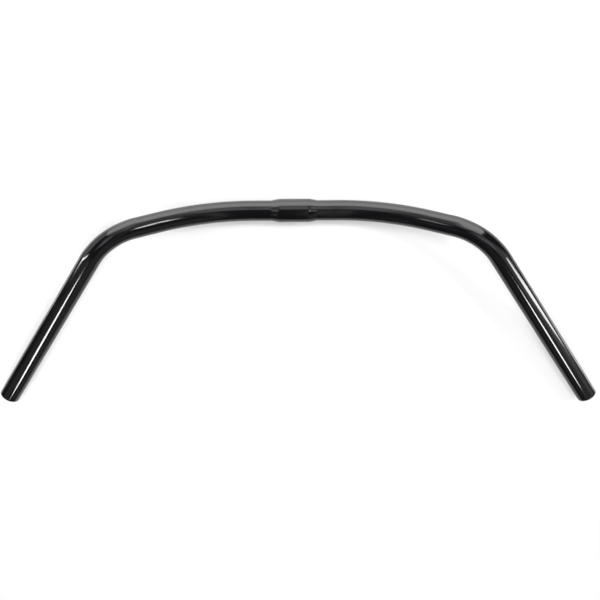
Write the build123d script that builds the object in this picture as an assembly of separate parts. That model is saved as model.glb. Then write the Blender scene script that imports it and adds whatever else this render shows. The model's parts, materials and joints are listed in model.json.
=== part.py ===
from build123d import *
import os
from math import asin, atan2, degrees, hypot, radians, sqrt, tan

# Cruiser handlebar: one bent steel tube with a tapered sleeve pressed round its middle.
# Sizes are millimetres and degrees. The origin is on the sleeve's axis, halfway along it.
# +X runs to one grip, +Y to the front and +Z up. The bar lies as it rests on a table:
# on the sleeve, and on the lower edge of each open end of the tube.

# Tube
TUBE_DIAMETER = 22.2
TUBE_WALL = 1.6
END_EDGE_RADIUS = 1.0
END_EDGE_SHARE = 0.7  # the most of the wall that the rounded end edge takes up

# Clamp sleeve: with this wall it is 25.4 across, the size that a stem clamps
SLEEVE_WALL = 1.6
SLEEVE_LIP = 0.3  # wall left at the thin end of each taper
LAND_LENGTH = 35.0
LAND_EDGE_RADIUS = 2.0
TAPER_LENGTH = 6.5

# Bend table of one half, from the sleeve outwards
SLEEVE_CLEAR_RUN = 22.0
SHOULDER_RADIUS = 290.0
SHOULDER_ANGLE = 20.3
SHOULDER_RUN = 24.5
KNEE_TWIST = 77.4  # from the plane of the shoulder bend to the plane of the knee
KNEE_RADIUS = 75.0
KNEE_ANGLE = 48.5
GRIP_RUN = 198.0

# Steps in which the rest angle settles to far under a micrometre at the ends
REST_STEPS = 8

tube_radius = TUBE_DIAMETER / 2
bore_radius = tube_radius - TUBE_WALL
end_edge = min(END_EDGE_RADIUS, END_EDGE_SHARE * TUBE_WALL)
sleeve_radius = tube_radius + SLEEVE_WALL
sleeve_half = LAND_LENGTH / 2 + TAPER_LENGTH


def half_corners(lean):
    """Corner points of one half's centreline, with the shoulder bend leaning up from the table."""
    shoulder_tangent = SHOULDER_RADIUS * tan(radians(SHOULDER_ANGLE) / 2)
    knee_tangent = KNEE_RADIUS * tan(radians(KNEE_ANGLE) / 2)

    # Each bend turns the tube about the normal of its plane, and the knee's plane is twisted
    # round the shoulder run from the plane of the shoulder bend.
    across = Vector(1, 0, 0)
    shoulder_normal = Vector(0, 0, -1).rotate(Axis.X, -lean)
    shoulder = across.rotate(Axis((0, 0, 0), shoulder_normal), SHOULDER_ANGLE)
    knee_normal = shoulder_normal.rotate(Axis((0, 0, 0), shoulder), KNEE_TWIST)
    grip = shoulder.rotate(Axis((0, 0, 0), knee_normal), KNEE_ANGLE)

    shoulder_corner = across * (sleeve_half + SLEEVE_CLEAR_RUN + shoulder_tangent)
    knee_corner = shoulder_corner + shoulder * (shoulder_tangent + SHOULDER_RUN + knee_tangent)
    grip_end = knee_corner + grip * (knee_tangent + GRIP_RUN)
    return shoulder_corner, knee_corner, grip_end


def end_height(knee_corner, grip_end):
    """Height of the grip end's centre above the lowest point of its rounded edge."""
    slope = (grip_end - knee_corner).normalized().Z
    return (tube_radius - end_edge) * sqrt(1 - slope**2) + end_edge * (1 + slope)


def rest_lean():
    """Lean that brings the ends of the tube down to the table that the sleeve lies on."""
    lean = 0.0
    for _ in range(REST_STEPS):
        _, knee_corner, end = half_corners(lean)
        rest_z = end_height(knee_corner, end) - sleeve_radius
        lean += degrees(asin(rest_z / hypot(end.Y, end.Z)) - atan2(end.Z, -end.Y))
    return lean


def centreline():
    """The whole centreline, from the left end to the right end, with a tangent arc at each bend."""
    right = half_corners(rest_lean())
    left = [Vector(-p.X, p.Y, p.Z) for p in reversed(right)]
    radii = [KNEE_RADIUS, SHOULDER_RADIUS, SHOULDER_RADIUS, KNEE_RADIUS]
    return FilletPolyline(*left, *right, radius=radii)


def make_bar_tube():
    """A ring swept along the centreline, with the outer edge of each open end rounded."""
    path = centreline()
    ring = Circle(tube_radius) - Circle(bore_radius)
    tube = sweep(Plane(path @ 0, z_dir=path % 0) * ring, path=path)
    circles = tube.edges().filter_by(GeomType.CIRCLE)
    outer = circles.filter_by(lambda edge: edge.radius > tube_radius - TUBE_WALL / 2)
    rims = outer.sort_by(Axis.X)
    return fillet([rims[0], rims[-1]], end_edge)


def make_clamp_sleeve():
    """A land with a taper down to a thin lip at each end, revolved about the tube's axis."""
    lip_radius = tube_radius + SLEEVE_LIP
    outline = Polyline(
        (-sleeve_half, tube_radius),
        (-sleeve_half, lip_radius),
        (-LAND_LENGTH / 2, sleeve_radius),
        (LAND_LENGTH / 2, sleeve_radius),
        (sleeve_half, lip_radius),
        (sleeve_half, tube_radius),
        close=True,
    )
    profile = make_face(outline)
    land_corners = profile.vertices().group_by(Axis.Y)[-1]
    return revolve(fillet(land_corners, LAND_EDGE_RADIUS), Axis.X)


os.makedirs("parts", exist_ok=True)
export_step(make_bar_tube(), "parts/bar_tube.step")
export_step(make_clamp_sleeve(), "parts/clamp_sleeve.step")
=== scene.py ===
"""Cruiser handlebar: a bent steel tube in gloss black enamel with a clamp sleeve round its middle.

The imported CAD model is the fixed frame. The tube and the sleeve are surfaces worked out with numpy in
that frame, in metres, and stand for the CAD nodes of the same names. The stage is a white table with
the windows and lamps that the paint mirrors.
"""

import json
from math import pi, radians, tan
from typing import NamedTuple

import bpy
import numpy as np
from bpy.props import FloatProperty, FloatVectorProperty, IntProperty, PointerProperty
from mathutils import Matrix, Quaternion, Vector


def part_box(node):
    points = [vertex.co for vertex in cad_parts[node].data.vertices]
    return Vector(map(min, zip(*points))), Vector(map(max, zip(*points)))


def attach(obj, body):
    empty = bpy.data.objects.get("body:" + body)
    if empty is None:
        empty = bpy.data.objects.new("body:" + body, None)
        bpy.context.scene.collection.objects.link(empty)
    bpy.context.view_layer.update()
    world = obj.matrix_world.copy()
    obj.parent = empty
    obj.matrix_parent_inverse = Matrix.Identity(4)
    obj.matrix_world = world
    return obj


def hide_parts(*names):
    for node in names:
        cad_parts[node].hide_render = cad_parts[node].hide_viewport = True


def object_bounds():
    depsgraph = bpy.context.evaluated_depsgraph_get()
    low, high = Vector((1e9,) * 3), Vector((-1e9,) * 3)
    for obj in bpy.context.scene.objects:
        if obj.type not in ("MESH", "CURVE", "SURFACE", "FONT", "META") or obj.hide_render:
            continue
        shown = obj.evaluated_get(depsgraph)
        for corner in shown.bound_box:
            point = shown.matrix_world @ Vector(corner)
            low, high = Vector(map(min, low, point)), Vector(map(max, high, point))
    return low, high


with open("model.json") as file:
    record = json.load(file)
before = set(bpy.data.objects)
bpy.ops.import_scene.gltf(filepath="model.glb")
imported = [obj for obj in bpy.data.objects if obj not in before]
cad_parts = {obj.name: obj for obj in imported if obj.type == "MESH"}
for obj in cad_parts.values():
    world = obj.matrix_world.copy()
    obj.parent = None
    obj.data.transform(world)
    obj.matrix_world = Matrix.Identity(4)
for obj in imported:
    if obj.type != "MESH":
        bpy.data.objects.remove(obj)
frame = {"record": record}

bl_info = {
    "name": "Cruiser Handlebar",
    "version": (1, 0, 0),
    "blender": (4, 5, 0),
    "location": "View3D > Sidebar > Handlebar",
    "description": "Builds a bent steel handlebar with a clamp sleeve, and a white table to show it on",
    "category": "Add Mesh",
}

CAD_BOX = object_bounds()
MOUNTS = {mount["name"]: mount for mount in frame["record"]["mounts"]}

# Sockets of the colour Mix node, whose names are shared with its other data types
MIX_A, MIX_B, MIX_RESULT = 6, 7, 2

# How finely the surfaces are divided: the least number of stations on an arc, the farthest that a
# run's extra stations may lie from its ends as a share of it, the points on a quarter circle of the
# tube's end edges and the points along each side of the table
ARC_STATIONS = 7
RUN_END_SHARE = 0.25
EDGE_POINTS = 9
TABLE_POINTS = 61


def mm(length):
    """Metres from millimetres."""
    return length * 0.001


def mount_size(mount, key):
    """A size of one of the record's mounts, in metres."""
    return mm(MOUNTS[mount]["dims"][key])


def linear(hex_colour):
    """Linear RGB from an sRGB hex value: c / 12.92 near black, ((c + 0.055) / 1.055)^2.4 above."""
    srgb = [int(hex_colour[i : i + 2], 16) / 255 for i in (0, 2, 4)]
    return tuple(c / 12.92 if c <= 0.04045 else ((c + 0.055) / 1.055) ** 2.4 for c in srgb)


class BarSizes(bpy.types.PropertyGroup):
    """Sizes of the tube and the sleeve. The tube's ends and straight grips come from the frame."""

    tube_radius: FloatProperty(
        name="Tube Radius",
        description="Outer radius of the bar tube",
        default=mount_size("right_grip", "r_mm"),
        unit="LENGTH",
        precision=4,
    )
    bore_radius: FloatProperty(
        name="Bore Radius",
        description="Inner radius of the bar tube",
        default=mount_size("right_end_bore", "r_mm"),
        unit="LENGTH",
        precision=4,
    )
    end_edge: FloatProperty(
        name="End Edge",
        description="Rounding of the outer edge of each open end",
        default=mm(1.0),
        unit="LENGTH",
        precision=4,
    )
    mouth_edge: FloatProperty(
        name="Mouth Edge",
        description="Rounding that the paint leaves on the inner edge of each open end",
        default=mm(0.25),
        unit="LENGTH",
        precision=4,
    )
    clear_run: FloatProperty(
        name="Clear Run",
        description="Straight tube between the sleeve and each shoulder bend",
        default=mm(22.0),
        unit="LENGTH",
        precision=4,
    )
    shoulder_radius: FloatProperty(
        name="Shoulder Radius",
        description="Centreline radius of each shoulder bend",
        default=mm(290.0),
        unit="LENGTH",
        precision=4,
    )
    shoulder_angle: FloatProperty(
        name="Shoulder Angle",
        description="Angle through which each shoulder bend turns the tube",
        default=radians(20.3),
        subtype="ANGLE",
    )
    knee_radius: FloatProperty(
        name="Knee Radius",
        description="Centreline radius of each knee bend",
        default=mm(75.0),
        unit="LENGTH",
        precision=4,
    )
    knee_angle: FloatProperty(
        name="Knee Angle",
        description="Angle through which each knee bend turns the tube",
        default=radians(48.5),
        subtype="ANGLE",
    )
    knee_flattening: FloatProperty(
        name="Knee Flattening",
        description="Share of its width that the tube loses in the plane of a knee as it is bent",
        default=0.045,
        subtype="FACTOR",
    )
    tube_sides: IntProperty(
        name="Tube Sides",
        description="Faces round the tube and the sleeve",
        default=96,
    )
    sleeve_radius: FloatProperty(
        name="Sleeve Radius",
        description="Outer radius of the land that a stem clamps",
        default=mount_size("stem_clamp", "r_mm"),
        unit="LENGTH",
        precision=4,
    )
    taper_length: FloatProperty(
        name="Taper Length",
        description="Length along the axis of each taper, edge roundings included",
        default=mm(6.8),
        unit="LENGTH",
        precision=4,
    )
    land_edge: FloatProperty(
        name="Land Edge",
        description="Soft rounding that grinding and paint leave between the land and each taper",
        default=mm(22.0),
        unit="LENGTH",
        precision=4,
    )
    foot_length: FloatProperty(
        name="Foot Length",
        description="Level foot at the thin end of each taper",
        default=mm(0.5),
        unit="LENGTH",
        precision=4,
    )
    foot_edge: FloatProperty(
        name="Foot Edge",
        description="Hollow rounding between each taper and its foot",
        default=mm(3.0),
        unit="LENGTH",
        precision=4,
    )
    lip: FloatProperty(
        name="Lip",
        description="Wall left at the thin end of each taper",
        default=mm(0.3),
        unit="LENGTH",
        precision=4,
    )
    lip_edge: FloatProperty(
        name="Lip Edge",
        description="Rounding of the lip's outer edge under the paint",
        default=mm(0.12),
        unit="LENGTH",
        precision=5,
    )
    paint_fillet: FloatProperty(
        name="Paint Fillet",
        description="Fillet that the paint forms in the corner between the lip and the tube",
        default=mm(0.14),
        unit="LENGTH",
        precision=5,
    )


class FinishLook(bpy.types.PropertyGroup):
    """Colours and gloss of the paint and of the steel inside the tube."""

    enamel_colour: FloatVectorProperty(
        name="Enamel",
        description="Colour of the black paint",
        default=linear("0a0a0c"),
        subtype="COLOR",
    )
    enamel_gloss: FloatProperty(
        name="Enamel Roughness",
        description="Roughness of the paint where it is at its glossiest",
        default=0.08,
        subtype="FACTOR",
    )
    enamel_ior: FloatProperty(
        name="Enamel IOR",
        description="Refractive index of the paint",
        default=1.5,
    )
    steel_colour: FloatVectorProperty(
        name="Steel",
        description="Colour of the drawn steel inside the tube",
        default=linear("7b7670"),
        subtype="COLOR",
    )


class StageLook(bpy.types.PropertyGroup):
    """The table, the strength of the light and the camera."""

    table_colour: FloatVectorProperty(
        name="Table",
        description="Colour of the table",
        default=linear("d8d8d8"),
        subtype="COLOR",
    )
    table_width: FloatProperty(
        name="Table Width",
        description="Size of the table along the bar",
        default=1.0,
        unit="LENGTH",
    )
    table_depth: FloatProperty(
        name="Table Depth",
        description="Size of the table from its front edge to its back edge",
        default=1.42,
        unit="LENGTH",
    )
    table_front: FloatProperty(
        name="Table Front",
        description="Where the table's front edge lies",
        default=-0.42,
        unit="LENGTH",
    )
    table_fade: FloatProperty(
        name="Table Fade",
        description="Band along its edges in which the table fades into the white round it",
        default=0.15,
        unit="LENGTH",
    )
    light_level: FloatProperty(
        name="Light Level",
        description="Strength of all windows and lamps together",
        default=1.0,
    )
    room_level: FloatProperty(
        name="Room Level",
        description="Brightness of the dim room round the lamps",
        default=0.035,
    )
    camera_place: FloatVectorProperty(
        name="Camera Place",
        description="Where the camera stands",
        default=(mm(21.33), mm(50.86), mm(777.23)),
        subtype="TRANSLATION",
        unit="LENGTH",
    )
    camera_turn: FloatVectorProperty(
        name="Camera Turn",
        description="How the camera is turned from looking straight down",
        default=(radians(-10.966), radians(1.073), radians(-0.456)),
        subtype="EULER",
    )
    camera_lens: FloatProperty(
        name="Camera Lens",
        description="Focal length in millimetres on a sensor 36 mm wide",
        default=42.449,
    )


class Lamp(NamedTuple):
    """A flat lamp that faces a point near the bar, turned in its own plane."""

    name: str
    place: tuple
    aim: tuple
    turn: float
    width: float
    height: float
    brightness: float
    shape: str = "RECTANGLE"
    spread: float = 180.0


# What the lamps face: the middle of the bar, its shoulders, its left knee and the middles of its grips
MIDDLE = (0.0, -0.05, 0.0)
LEFT_SHOULDER, RIGHT_SHOULDER = (-0.14, 0.06, 0.03), (0.14, 0.08, 0.03)
LEFT_KNEE = (-0.2, -0.02, 0.03)
LEFT_GRIP, RIGHT_GRIP = (-0.27, -0.13, 0.02), (0.27, -0.13, 0.02)

# Places and sizes are metres and turns are degrees. A brightness of 1 is that of white paper.
# The paint mirrors these.
MIRRORED_LAMPS = (
    Lamp("back_window", (0.0, 1.30, 0.48), (0.0, 0.0, 0.48), 0.0, 2.72, 1.0, 4.4),
    Lamp("back_left_panel", (-1.48, 2.60, 2.40), (-1.48, 0.0, 2.40), 0.0, 2.05, 0.97, 2.4),
    Lamp("back_right_panel", (0.30, 0.244, 0.368), (0.30, 0.0, 0.368), 0.0, 0.231, 0.298, 3.4),
    Lamp("ceiling", (0.0, 1.02, 1.30), (0.0, 1.02, 0.0), 0.0, 1.8, 1.45, 0.6),
    Lamp("ceiling_middle", (-0.08, 2.05, 2.60), (-0.08, 2.05, 0.0), 0.0, 0.44, 2.7, 0.9),
    Lamp("ceiling_front", (0.045, -0.60, 1.30), (0.045, -0.60, 0.0), 0.0, 0.09, 1.3, 0.5),
    Lamp("ceiling_left", (-0.55, 0.12, 1.30), (-0.55, 0.12, 0.0), 0.0, 0.4, 0.6, 1.3),
    Lamp("ceiling_right", (0.50, 0.0, 1.30), (0.50, 0.0, 0.0), 0.0, 0.6, 0.5, 1.25),
    Lamp("left_tube", (-0.335, 0.08, 1.27), RIGHT_SHOULDER, 0.0, 0.2, 0.03, 9.0, spread=26.0),
    Lamp("right_tube", (0.258, 0.06, 1.27), LEFT_SHOULDER, 0.0, 0.4, 0.055, 22.0, spread=26.0),
    Lamp("left_wall", (-1.80, 0.85, 0.45), LEFT_KNEE, 0.0, 1.25, 0.95, 1.3),
    Lamp("right_wall", (1.90, -0.10, 1.30), RIGHT_GRIP, 0.0, 1.6, 2.5, 0.7),
    Lamp("front_left_wall", (-0.40, -2.00, 0.90), RIGHT_GRIP, 0.0, 0.5, 1.6, 0.3, spread=26.0),
    Lamp("front_right_wall", (0.50, -2.00, 0.90), LEFT_GRIP, 0.0, 0.9, 1.8, 0.24),
    Lamp("left_front_wall", (-1.70, -1.10, 1.50), LEFT_GRIP, 0.0, 1.6, 1.8, 0.24),
    Lamp("right_front_wall", (1.00, -0.95, 1.35), RIGHT_GRIP, 0.0, 0.6, 0.5, 0.35),
    Lamp("right_window", (3.44, 0.0, 1.40), RIGHT_GRIP, 11.7, 0.40, 2.0, 18.7),
    Lamp("left_window", (-1.886, 0.137, 0.99), LEFT_KNEE, -7.4, 0.16, 0.98, 25.0),
    Lamp("left_lamp", (-0.343, -0.462, 0.387), LEFT_GRIP, 14.2, 0.095, 0.30, 29.0, "ELLIPSE"),
    Lamp("right_lamp", (0.350, -0.450, 0.396), RIGHT_GRIP, -2.6, 0.08, 0.22, 28.0, "ELLIPSE"),
)

# These light the table evenly enough for it to come out white, with soft shadows.
TABLE_LAMPS = (
    Lamp("table_back", (0.05, 1.15, 0.55), MIDDLE, 0.0, 2.4, 0.6, 4.9),
    Lamp("table_back_right", (0.967, 0.272, 0.75), MIDDLE, 0.0, 0.2, 0.2, 56.0),
    Lamp("table_back_left", (-0.85, 0.45, 0.75), MIDDLE, 0.0, 0.4, 0.4, 8.4),
    Lamp("table_front_left", (-0.45, -0.80, 0.85), MIDDLE, 0.0, 0.5, 0.4, 12.4),
    Lamp("table_front_right", (0.50, -0.75, 1.00), MIDDLE, 0.0, 0.4, 0.4, 8.0),
    Lamp("table_top", (0.0, -0.05, 1.20), MIDDLE, 0.0, 0.6, 0.6, 3.8),
    Lamp("table_top_back", (0.05, 0.40, 1.15), MIDDLE, 0.0, 0.6, 0.4, 7.8),
)


def unit(vectors):
    """Vectors divided by their lengths."""
    return vectors / np.linalg.norm(vectors, axis=-1, keepdims=True)


def smooth_step(value):
    """Rises from 0 to 1 as the value does, level at both ends: 3v^2 - 2v^3."""
    clipped = np.clip(value, 0.0, 1.0)
    return clipped * clipped * (3.0 - 2.0 * clipped)


class Stations(NamedTuple):
    """Places along a bent line, with the axes of the ring that stands at each."""

    place: np.ndarray
    along: np.ndarray
    side: np.ndarray
    inward: np.ndarray
    bend: np.ndarray


def bent_line(corners, radii, side, run_step, arc_step):
    """Stations along straight runs that are joined at each corner by a tangent arc.

    A run goes straight from a to b. An arc of radius R starts at s along d and turns towards n:
    s + R sin(w) d + R (1 - cos(w)) n, for w from 0 to the angle between the two runs. The side axis
    keeps its direction on a run and turns about d x n on an arc, so the rings don't twist. The bend
    weight is 0 on runs and rises smoothly over the first and last quarter of an arc, to 1 on the
    tightest arc, of radius r, and to (r / R)^2 on the others. A run has one more station close to
    each end, which keeps the arcs' shading from spreading along it.
    """
    corners = np.asarray(corners, float)
    headings = unit(np.diff(corners, axis=0))
    start = corners[0]
    parts = []
    for index, heading in enumerate(headings):
        following = headings[index + 1] if index + 1 < len(headings) else heading
        turn = np.arccos(np.clip(heading @ following, -1.0, 1.0))
        radius = radii[index] if index < len(radii) else 0.0
        stop = corners[index + 1] - heading * radius * np.tan(turn / 2)

        length = np.linalg.norm(stop - start)
        steps = max(1, round(length / run_step))
        close = min(RUN_END_SHARE, arc_step / length)
        share = np.insert(np.linspace(0.0, 1.0, steps + 1), (1, steps), (close, 1.0 - close))[:-1, None]
        ones = np.ones_like(share)
        parts.append(
            Stations(
                place=start + share * (stop - start),
                along=ones * heading,
                side=ones * side,
                inward=np.zeros((len(share), 3)),
                bend=np.zeros(len(share)),
            )
        )

        start = stop
        if radius > 0.0:
            axis = unit(np.cross(heading, following))
            inward = np.cross(axis, heading)
            stations = max(ARC_STATIONS, round(radius * turn / arc_step) + 1)
            angle = np.linspace(0.0, turn, stations)[:, None]
            place = start + radius * (np.sin(angle) * heading + (1 - np.cos(angle)) * inward)
            turned_side = (
                np.cos(angle) * side
                + np.sin(angle) * np.cross(axis, side)
                + (1 - np.cos(angle)) * (axis @ side) * axis
            )
            before_end = angle[:-1]
            quarters = 4 * before_end[:, 0] / turn
            tightness = (min(radii) / radius) ** 2
            parts.append(
                Stations(
                    place=place[:-1],
                    along=np.cos(before_end) * heading + np.sin(before_end) * inward,
                    side=turned_side[:-1],
                    inward=np.cos(before_end) * inward - np.sin(before_end) * heading,
                    bend=tightness * smooth_step(quarters) * smooth_step(4 - quarters),
                )
            )
            start, side = place[-1], turned_side[-1]

    last = np.zeros((1, 3))
    parts.append(Stations(last + start, last + headings[-1], last + side, last, np.zeros(1)))
    return Stations(*(np.concatenate(arrays) for arrays in zip(*parts)))


def ring_grid(stations, radius, shift, flattening, sides):
    """Rings of points round a line: place + shift along it + radius (cos(f) side + sin(f) up).

    Here up is along x side. In a bend the ring is pressed narrower towards the inside of the bend
    and spreads by half as much across it, as a tube does when it is drawn round a former.
    """
    around = np.linspace(0.0, 2 * pi, sides, endpoint=False)[None, :, None]
    up = np.cross(stations.along, stations.side)
    spoke = np.cos(around) * stations.side[:, None] + np.sin(around) * up[:, None]
    across = np.cross(stations.along, stations.inward)
    press = flattening * stations.bend[:, None, None]
    narrowed = (spoke * stations.inward[:, None]).sum(axis=2, keepdims=True) * stations.inward[:, None]
    spread = (spoke * across[:, None]).sum(axis=2, keepdims=True) * across[:, None]
    spoke = spoke - press * narrowed + press / 2 * spread
    centre = stations.place + shift[:, None] * stations.along
    return centre[:, None] + radius[:, None, None] * spoke


def closed_piece(name, grid, materials, row_material):
    """A mesh object from a grid of points whose rows and columns both close on themselves.

    Each face joins a point to the next one round, then to those of the next row, which turns it
    outwards where the rows run along the line on the outside and back along the bore.
    """
    rows, columns = grid.shape[:2]
    index = np.arange(rows * columns).reshape(rows, columns)
    next_round = np.roll(index, -1, axis=1)
    corners = (index, next_round, np.roll(next_round, -1, axis=0), np.roll(index, -1, axis=0))
    quads = np.stack(corners, axis=2).reshape(-1, 4)

    mesh = bpy.data.meshes.new(name)
    mesh.from_pydata(grid.reshape(-1, 3), [], quads)
    for material in materials:
        mesh.materials.append(material)
    mesh.polygons.foreach_set("material_index", np.repeat(row_material, columns).astype(np.int32))
    mesh.shade_smooth()
    mesh.update()
    piece = bpy.data.objects.new(name, mesh)
    bpy.context.scene.collection.objects.link(piece)
    return piece


def add_node(tree, kind, values=None, links=None, **settings):
    """Adds a node, with its settings, the values of its inputs and the sockets linked to them."""
    node = tree.nodes.new(kind)
    for key, value in settings.items():
        setattr(node, key, value)
    for key, value in (values or {}).items():
        node.inputs[key].default_value = value
    for key, socket in (links or {}).items():
        tree.links.new(socket, node.inputs[key])
    return node


def new_material(name):
    """An empty node material and its node tree."""
    material = bpy.data.materials.new(name)
    material.use_nodes = True
    material.node_tree.nodes.clear()
    return material, material.node_tree


def black_enamel(name, look, peel_width, peel_depth, haze):
    """Stove enamel sprayed on steel: black and wet-looking, with a faint orange peel.

    It mirrors the lamps sharply, so their edges waver a little where the film is uneven, and broad
    soft patches of the film are slightly hazier than the rest.
    """
    pass_width = mm(35.0)
    material, tree = new_material(name)
    place = add_node(tree, "ShaderNodeTexCoord").outputs["Object"]
    # Real orange peel is 1 to 3 mm wide. It is drawn a little coarser, and this film is so even that
    # it barely shows.
    peel = add_node(
        tree,
        "ShaderNodeTexNoise",
        values={"Scale": 1 / peel_width, "Detail": 1.0, "Roughness": 0.4},
        links={"Vector": place},
    )
    relief = add_node(
        tree,
        "ShaderNodeBump",
        values={"Strength": 1.0, "Distance": peel_depth},
        links={"Height": peel.outputs["Fac"]},
    )
    # Spray passes overlap every few centimetres, and leave the film thinner and hazier in between.
    passes = add_node(
        tree,
        "ShaderNodeTexNoise",
        values={"Scale": 1 / pass_width, "Detail": 2.0},
        links={"Vector": place},
    )
    roughness = add_node(
        tree,
        "ShaderNodeMapRange",
        values={
            "From Min": 0.35,
            "From Max": 0.65,
            "To Min": look.enamel_gloss,
            "To Max": look.enamel_gloss + haze,
        },
        links={"Value": passes.outputs["Fac"]},
    )
    shader = add_node(
        tree,
        "ShaderNodeBsdfPrincipled",
        values={"Base Color": (*look.enamel_colour, 1.0), "IOR": look.enamel_ior},
        links={"Roughness": roughness.outputs["Result"], "Normal": relief.outputs["Normal"]},
    )
    add_node(tree, "ShaderNodeOutputMaterial", links={"Surface": shader.outputs["BSDF"]})
    return material


def drawn_steel(name, look):
    """Bare drawn steel inside the tube: dull grey metal, with black overspray blown in at the mouth.

    The piece's own attribute mouth_depth says how far in from the nearest open end a point lies.
    """
    # The overspray is solid up to where the flecks say, 8 mm short of 40 mm times the noise, and has
    # thinned out to bare steel 26 mm in.
    fleck_width, fleck_reach, fleck_start = mm(4.0), mm(40.0), mm(8.0)
    bare_depth = mm(26.0)
    material, tree = new_material(name)
    place = add_node(tree, "ShaderNodeTexCoord").outputs["Object"]
    depth = add_node(tree, "ShaderNodeAttribute", attribute_name="mouth_depth").outputs["Fac"]
    flecks = add_node(
        tree,
        "ShaderNodeTexNoise",
        values={"Scale": 1 / fleck_width, "Detail": 4.0},
        links={"Vector": place},
    )
    reach = add_node(
        tree,
        "ShaderNodeMath",
        operation="MULTIPLY_ADD",
        values={1: fleck_reach, 2: -fleck_start},
        links={0: flecks.outputs["Fac"]},
    )
    bare = add_node(
        tree,
        "ShaderNodeMapRange",
        values={"From Max": bare_depth},
        links={"Value": depth, "From Min": reach.outputs["Value"]},
        interpolation_type="SMOOTHSTEP",
    )
    colour = add_node(
        tree,
        "ShaderNodeMix",
        data_type="RGBA",
        values={MIX_A: (*look.enamel_colour, 1.0), MIX_B: (*look.steel_colour, 1.0)},
        links={0: bare.outputs["Result"]},
    )
    shader = add_node(
        tree,
        "ShaderNodeBsdfPrincipled",
        values={"Roughness": 0.5},
        links={"Base Color": colour.outputs[MIX_RESULT], "Metallic": bare.outputs["Result"]},
    )
    add_node(tree, "ShaderNodeOutputMaterial", links={"Surface": shader.outputs["BSDF"]})
    return material


def table_board(name, stage):
    """Lacquered board: plain white under a clear coat, which brightens it towards the back window.

    The table's own attribute solid falls to 0 at its edges, where the board turns clear, so that no
    edge shows against the white round it.
    """
    material, tree = new_material(name)
    solid = add_node(tree, "ShaderNodeAttribute", attribute_name="solid").outputs["Fac"]
    shader = add_node(
        tree,
        "ShaderNodeBsdfPrincipled",
        values={
            "Base Color": (*stage.table_colour, 1.0),
            "Roughness": 0.3,
            "Coat Weight": 1.0,
            "Coat Roughness": 0.3,
        },
        links={"Alpha": solid},
    )
    add_node(tree, "ShaderNodeOutputMaterial", links={"Surface": shader.outputs["BSDF"]})
    return material


def centreline(sizes):
    """Stations along the tube, from the left end to the right end.

    A grip's straight run is its bore in the frame, and the knee's corner lies past the run's inner
    end by R tan(A / 2). The shoulder's corner lies on the sleeve's axis, past the clear run by the
    same rule.
    """
    sleeve_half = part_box("clamp_sleeve")[1][0]
    shoulder_reach = sizes.shoulder_radius * tan(sizes.shoulder_angle / 2)
    shoulder = np.array([sleeve_half + sizes.clear_run + shoulder_reach, 0.0, 0.0])

    bore = MOUNTS["right_end_bore"]
    axis = np.array(bore["axis"])
    half_run = axis * mount_size("right_end_bore", "length_mm") / 2
    end = np.array(bore["pos_m"]) + half_run
    knee = np.array(bore["pos_m"]) - half_run - axis * sizes.knee_radius * tan(sizes.knee_angle / 2)

    right = np.array([shoulder, knee, end])
    left = right[::-1] * (-1.0, 1.0, 1.0)
    first_heading = unit(left[1] - left[0])
    side = unit(np.cross(first_heading, (0.0, 0.0, 1.0)))
    radii = (sizes.knee_radius, sizes.shoulder_radius, sizes.shoulder_radius, sizes.knee_radius)
    return bent_line(np.concatenate((left, right)), radii, side, run_step=mm(6.0), arc_step=mm(2.0))


def end_profile(sizes):
    """Radius and shift of the rows that turn the tube's wall round its right end.

    The outer edge is a quarter circle, the end face is flat, and a smaller quarter circle turns
    into the bore. One row before and after holds the wall's shading straight.
    """
    quarter = np.linspace(0.0, pi / 2, EDGE_POINTS)
    edge, mouth = sizes.end_edge, sizes.mouth_edge
    radius = np.concatenate(
        (
            [sizes.tube_radius],
            sizes.tube_radius - edge * (1 - np.cos(quarter)),
            sizes.bore_radius + mouth * (1 - np.sin(quarter)),
            [sizes.bore_radius],
        )
    )
    shift = np.concatenate(
        (
            [-1.5 * edge],
            -edge * (1 - np.sin(quarter)),
            -mouth * (1 - np.cos(quarter)),
            [-2 * mouth],
        )
    )
    return radius, shift


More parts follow.
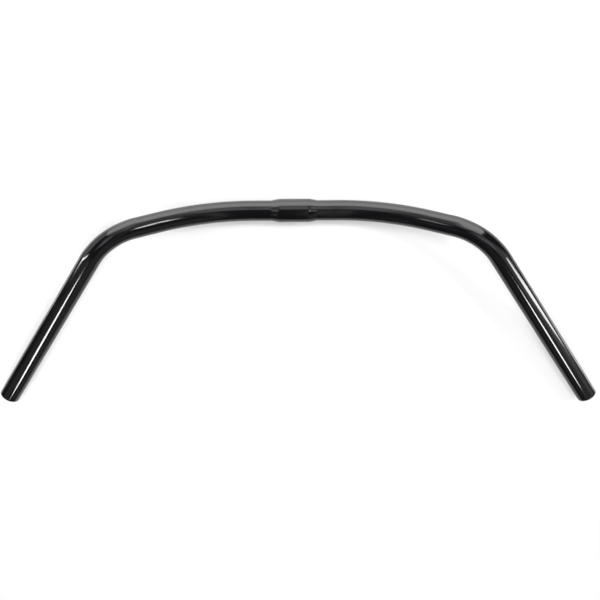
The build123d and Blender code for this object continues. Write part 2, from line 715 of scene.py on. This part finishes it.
class HANDLEBAR_OT_bar_tube(bpy.types.Operator):
    """Adds the bent tube, open at both ends, with its wall turned round each end"""

    bl_idname = "handlebar.bar_tube"
    bl_label = "Add Bar Tube"

    def execute(self, context):
        sizes, look = context.scene.bar_sizes, context.scene.finish_look
        line = centreline(sizes)
        last = len(line.place) - 1
        end_radius, end_shift = end_profile(sizes)
        end_rows = len(end_radius)

        # Rows run along the outside to the right end, back through the bore and round the left end.
        outside = np.arange(1, last)
        inside = np.arange(last - 1, 0, -1)
        pick = np.concatenate((outside, np.full(end_rows, last), inside, np.full(end_rows, 0)))
        radius = np.concatenate(
            (
                np.full(len(outside), sizes.tube_radius),
                end_radius,
                np.full(len(inside), sizes.bore_radius),
                end_radius[::-1],
            )
        )
        shift = np.concatenate(
            (np.zeros(len(outside)), end_shift, np.zeros(len(inside)), -end_shift[::-1])
        )
        rows = Stations(*(array[pick] for array in line))
        grid = ring_grid(rows, radius, shift, sizes.knee_flattening, sizes.tube_sides)

        # The steel runs from the last two rows of the right end to the first row of the left end.
        bore_start = len(outside) + end_rows
        bore_stop = bore_start + len(inside)
        steel = np.zeros(len(pick))
        steel[bore_start - 2 : bore_stop + 1] = 1
        materials = (
            black_enamel(
                "Gloss Black Stove Enamel",
                look,
                peel_width=mm(5.0),
                peel_depth=mm(0.0008),
                haze=0.04,
            ),
            drawn_steel("Drawn Steel With Overspray", look),
        )
        piece = closed_piece("bar_tube_painted", grid, materials, steel)

        steps = np.linalg.norm(np.diff(line.place, axis=0), axis=1)
        travel = np.append(0.0, np.cumsum(steps))[pick] + shift
        depth = np.minimum(travel, travel.max() - travel)
        attribute = piece.data.attributes.new("mouth_depth", "FLOAT", "POINT")
        attribute.data.foreach_set("value", np.repeat(depth, sizes.tube_sides))

        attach(piece, "root")
        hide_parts("bar_tube")
        return {"FINISHED"}


class HANDLEBAR_OT_clamp_sleeve(bpy.types.Operator):
    """Adds the sleeve, whose land tapers down to a thin lip at each end"""

    bl_idname = "handlebar.clamp_sleeve"
    bl_label = "Add Clamp Sleeve"

    def execute(self, context):
        sizes, look = context.scene.bar_sizes, context.scene.finish_look
        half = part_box("clamp_sleeve")[1][0]
        foot_start = half - sizes.foot_length
        paint_end = half + sizes.paint_fillet + mm(0.1)
        lip_radius = sizes.tube_radius + sizes.lip

        # Half of the outline in distance along the axis and radius, from the middle of the sleeve to
        # just past the paint's fillet on the tube
        corners = np.array(
            [
                (foot_start - sizes.taper_length, sizes.sleeve_radius, 0.0),
                (foot_start, lip_radius, 0.0),
                (half, lip_radius, 0.0),
                (half, sizes.tube_radius, 0.0),
                (paint_end, sizes.tube_radius, 0.0),
            ]
        )
        mirrored = corners[::-1] * (-1.0, 1.0, 1.0)
        edges = (sizes.land_edge, sizes.foot_edge, sizes.lip_edge, sizes.paint_fillet)
        outline = bent_line(
            np.concatenate((mirrored, corners)),
            (*edges[::-1], *edges),
            np.array([0.0, 0.0, 1.0]),
            run_step=mm(1.0),
            arc_step=mm(0.2),
        )
        along, radius = outline.place[:, 0], outline.place[:, 1]
        around = np.linspace(0.0, 2 * pi, sizes.tube_sides, endpoint=False)
        grid = np.stack(
            np.broadcast_arrays(
                along[:, None], radius[:, None] * np.cos(around), radius[:, None] * np.sin(around)
            ),
            axis=2,
        )
        paint = black_enamel(
            "Gloss Black Stove Enamel On Sleeve",
            look,
            peel_width=mm(4.0),
            peel_depth=mm(0.006),
            haze=0.08,
        )
        piece = closed_piece("clamp_sleeve_painted", grid, (paint,), np.zeros(len(along)))
        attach(piece, "root")
        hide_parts("clamp_sleeve")
        return {"FINISHED"}


class HANDLEBAR_OT_stage(bpy.types.Operator):
    """Adds the table, the windows and lamps, the dim room and the camera"""

    bl_idname = "handlebar.stage"
    bl_label = "Set Stage"

    def execute(self, context):
        stage = context.scene.stage_look
        link = context.scene.collection.objects.link

        # A flat grid at the height of the bar's lowest point. Its attribute solid is the product of
        # two smooth steps, of the distances from the nearest edge across and along.
        share = np.linspace(0.0, 1.0, TABLE_POINTS)
        from_edge = np.minimum(share, 1.0 - share)
        x, y = np.meshgrid(
            (share - 0.5) * stage.table_width,
            stage.table_front + share * stage.table_depth,
            indexing="ij",
        )
        solid = np.outer(
            smooth_step(from_edge * stage.table_width / stage.table_fade),
            smooth_step(from_edge * stage.table_depth / stage.table_fade),
        )
        index = np.arange(x.size).reshape(x.shape)
        corners = (index[:-1, :-1], index[1:, :-1], index[1:, 1:], index[:-1, 1:])
        mesh = bpy.data.meshes.new("table")
        mesh.from_pydata(
            np.stack((x, y, np.full_like(x, CAD_BOX[0][2])), axis=2).reshape(-1, 3),
            [],
            np.stack(corners, axis=2).reshape(-1, 4),
        )
        mesh.attributes.new("solid", "FLOAT", "POINT").data.foreach_set("value", solid.ravel())
        mesh.materials.append(table_board("White Lacquered Board", stage))
        table = bpy.data.objects.new("table", mesh)
        link(table)

        for lamp in MIRRORED_LAMPS + TABLE_LAMPS:
            light = bpy.data.lights.new(lamp.name, "AREA")
            light.shape = lamp.shape
            light.size, light.size_y = lamp.width, lamp.height
            # A flat lamp's brightness is its power over pi times its area, and a spread of half angle h
            # raises it by tan(h) / (tan(h) - h) straight ahead.
            area = lamp.width * lamp.height * (pi / 4 if lamp.shape == "ELLIPSE" else 1.0)
            half_angle = radians(lamp.spread / 2)
            narrowing = 1.0 - half_angle / tan(half_angle)
            light.spread = 2 * half_angle
            light.energy = stage.light_level * lamp.brightness * pi * area * narrowing
            holder = bpy.data.objects.new(lamp.name, light)
            holder.location = lamp.place
            facing = (Vector(lamp.aim) - Vector(lamp.place)).to_track_quat("-Z", "Y")
            turned = facing @ Quaternion((0.0, 0.0, 1.0), radians(lamp.turn))
            holder.rotation_euler = turned.to_euler()
            holder.visible_camera = False
            holder.visible_glossy = lamp in MIRRORED_LAMPS
            holder.visible_diffuse = lamp in TABLE_LAMPS
            link(holder)

        # The room is dim to the paint and the table, and white behind the table's far edge.
        world = bpy.data.worlds.new("dim_room")
        world.use_nodes = True
        tree = world.node_tree
        tree.nodes.clear()
        path = add_node(tree, "ShaderNodeLightPath")
        level = add_node(
            tree,
            "ShaderNodeMapRange",
            values={"To Min": stage.room_level, "To Max": 1.0},
            links={"Value": path.outputs["Is Camera Ray"]},
        )
        shade = add_node(
            tree,
            "ShaderNodeBackground",
            values={"Color": (1.0, 1.0, 1.0, 1.0)},
            links={"Strength": level.outputs["Result"]},
        )
        add_node(tree, "ShaderNodeOutputWorld", links={"Surface": shade.outputs["Background"]})
        context.scene.world = world

        camera = bpy.data.cameras.new("camera")
        camera.lens = stage.camera_lens
        camera.sensor_width = 36.0
        holder = bpy.data.objects.new("camera", camera)
        holder.location = stage.camera_place
        holder.rotation_euler = stage.camera_turn
        link(holder)
        context.scene.camera = holder
        context.scene.view_settings.view_transform = "Standard"
        return {"FINISHED"}


class HANDLEBAR_PT_sidebar(bpy.types.Panel):
    """Lists the handlebar's pieces, sizes and finishes"""

    bl_idname = "HANDLEBAR_PT_sidebar"
    bl_label = "Cruiser Handlebar"
    bl_space_type = "VIEW_3D"
    bl_region_type = "UI"
    bl_category = "Handlebar"

    def draw(self, context):
        for operator in OPERATORS:
            self.layout.operator(operator.bl_idname)
        for group in GROUPS.values():
            settings = getattr(context.scene, group)
            column = self.layout.column()
            for key in settings.__annotations__:
                column.prop(settings, key)


OPERATORS = (HANDLEBAR_OT_bar_tube, HANDLEBAR_OT_clamp_sleeve, HANDLEBAR_OT_stage)
GROUPS = {BarSizes: "bar_sizes", FinishLook: "finish_look", StageLook: "stage_look"}


def register():
    """Registers the classes and hangs the settings on the scene."""
    for group, name in GROUPS.items():
        bpy.utils.register_class(group)
        setattr(bpy.types.Scene, name, PointerProperty(type=group))
    for operator in OPERATORS:
        bpy.utils.register_class(operator)
    bpy.utils.register_class(HANDLEBAR_PT_sidebar)


def unregister():
    """Takes away what register() added, in the opposite order."""
    bpy.utils.unregister_class(HANDLEBAR_PT_sidebar)
    for operator in reversed(OPERATORS):
        bpy.utils.unregister_class(operator)
    for group, name in reversed(GROUPS.items()):
        delattr(bpy.types.Scene, name)
        bpy.utils.unregister_class(group)


def main():
    """Builds the handlebar and its stage."""
    register()
    bpy.ops.handlebar.bar_tube()
    bpy.ops.handlebar.clamp_sleeve()
    bpy.ops.handlebar.stage()


if __name__ == "__main__":
    main()
